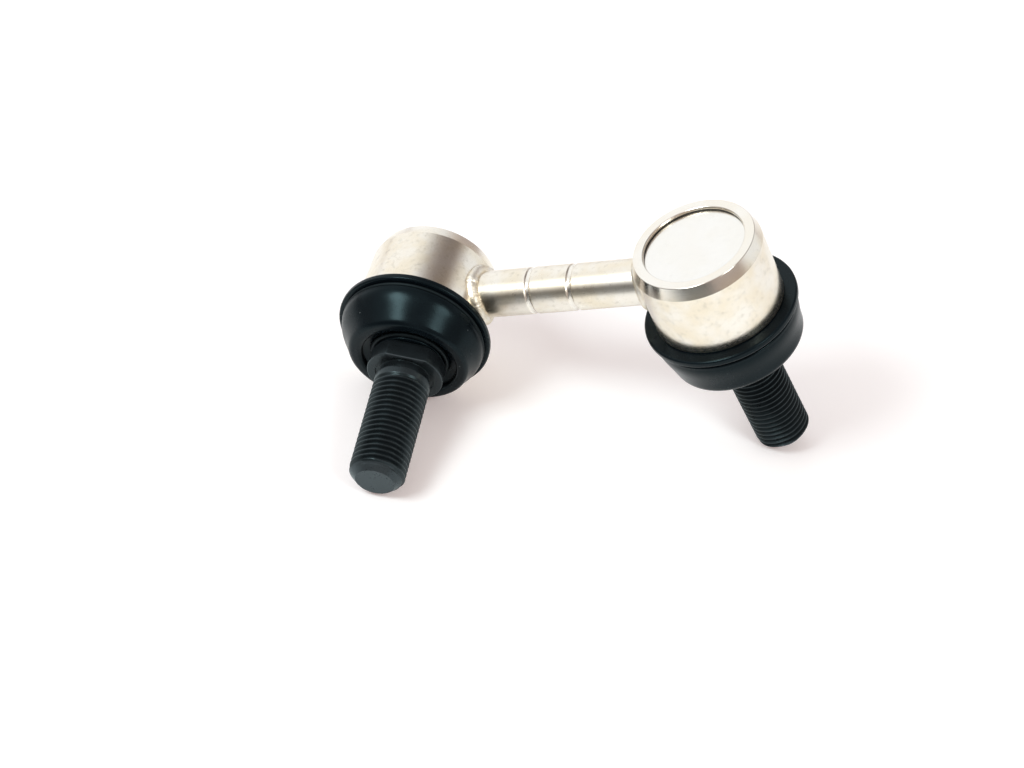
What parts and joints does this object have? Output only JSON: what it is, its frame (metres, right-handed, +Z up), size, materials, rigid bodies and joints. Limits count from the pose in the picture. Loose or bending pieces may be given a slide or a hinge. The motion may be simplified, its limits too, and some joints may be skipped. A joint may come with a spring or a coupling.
{
  "type": "stabilizer link",
  "caption": "Short stabilizer link: plated rod welded between sealed ball joints whose threaded studs stand at right angles, with rubber dust boots.",
  "frame": {"origin": "on the surface that the link lies on, below the middle of its box", "axes": "+Z up from that surface, +X from the left ball joint towards the right one along the rod's plan, +Y away from the left stud's tip"},
  "size_m": [0.1013, 0.0654, 0.0583],
  "materials": {
    "zinc_steel": "satin bright zinc plating on turned steel, faintly warm and mottled",
    "bright_cover": "smooth bright zinc plating on a pressed plate",
    "weld_steel": "rippled weld bead under bright zinc plating",
    "black_stud": "black oxide steel with an oily sheen",
    "boot_rubber": "smooth black moulded rubber, semi-gloss",
    "seat_plastic": "natural moulded bearing plastic",
    "black_wire": "black spring wire"
  },
  "bodies": {
    "link": {"link_rod": "zinc_steel", "left_weld": "weld_steel", "right_weld": "weld_steel", "left_housing": "zinc_steel", "right_housing": "zinc_steel", "left_cover": "bright_cover", "right_cover": "bright_cover", "left_ball_seat": "seat_plastic", "right_ball_seat": "seat_plastic"},
    "left_boot": {"left_boot": "boot_rubber", "left_boot_clamp": "black_wire"},
    "left_collar_ring": {"left_boot_clip": "black_wire"},
    "left_stud": {"left_ball_stud": "black_stud"},
    "right_boot": {"right_boot": "boot_rubber", "right_boot_clamp": "black_wire"},
    "right_collar_ring": {"right_boot_clip": "black_wire"},
    "right_stud": {"right_ball_stud": "black_stud"}
  },
  "joints": [
    {"name": "left_swing_direction", "type": "hinge", "parent": "link", "child": "left_boot", "pos_m": [-0.0345, 0.01253, 0.01781], "axis": [0.0718, -0.984, -0.1632], "continuous": true},
    {"name": "left_swing", "type": "hinge", "parent": "left_boot", "child": "left_collar_ring", "pos_m": [-0.0345, 0.01253, 0.01781], "axis": [0.9154, 0, 0.4026], "range_deg": [-25, 11], "deforming": ["left_boot"]},
    {"name": "left_spin", "type": "hinge", "parent": "left_collar_ring", "child": "left_stud", "pos_m": [-0.0345, 0.01253, 0.01781], "axis": [0.1195, -0.9549, -0.2717], "continuous": true},
    {"name": "right_swing_direction", "type": "hinge", "parent": "link", "child": "right_boot", "pos_m": [0.02565, 0.01485, 0.04251], "axis": [0.3962, 0.1783, -0.9007], "continuous": true},
    {"name": "right_swing", "type": "hinge", "parent": "right_boot", "child": "right_collar_ring", "pos_m": [0.02565, 0.01485, 0.04251], "axis": [0.0718, -0.984, -0.1632], "range_deg": [-21, 15], "deforming": ["right_boot"]},
    {"name": "right_spin", "type": "hinge", "parent": "right_collar_ring", "child": "right_stud", "pos_m": [0.02565, 0.01485, 0.04251], "axis": [0.4435, 0.178, -0.8784], "continuous": true}
  ]
}
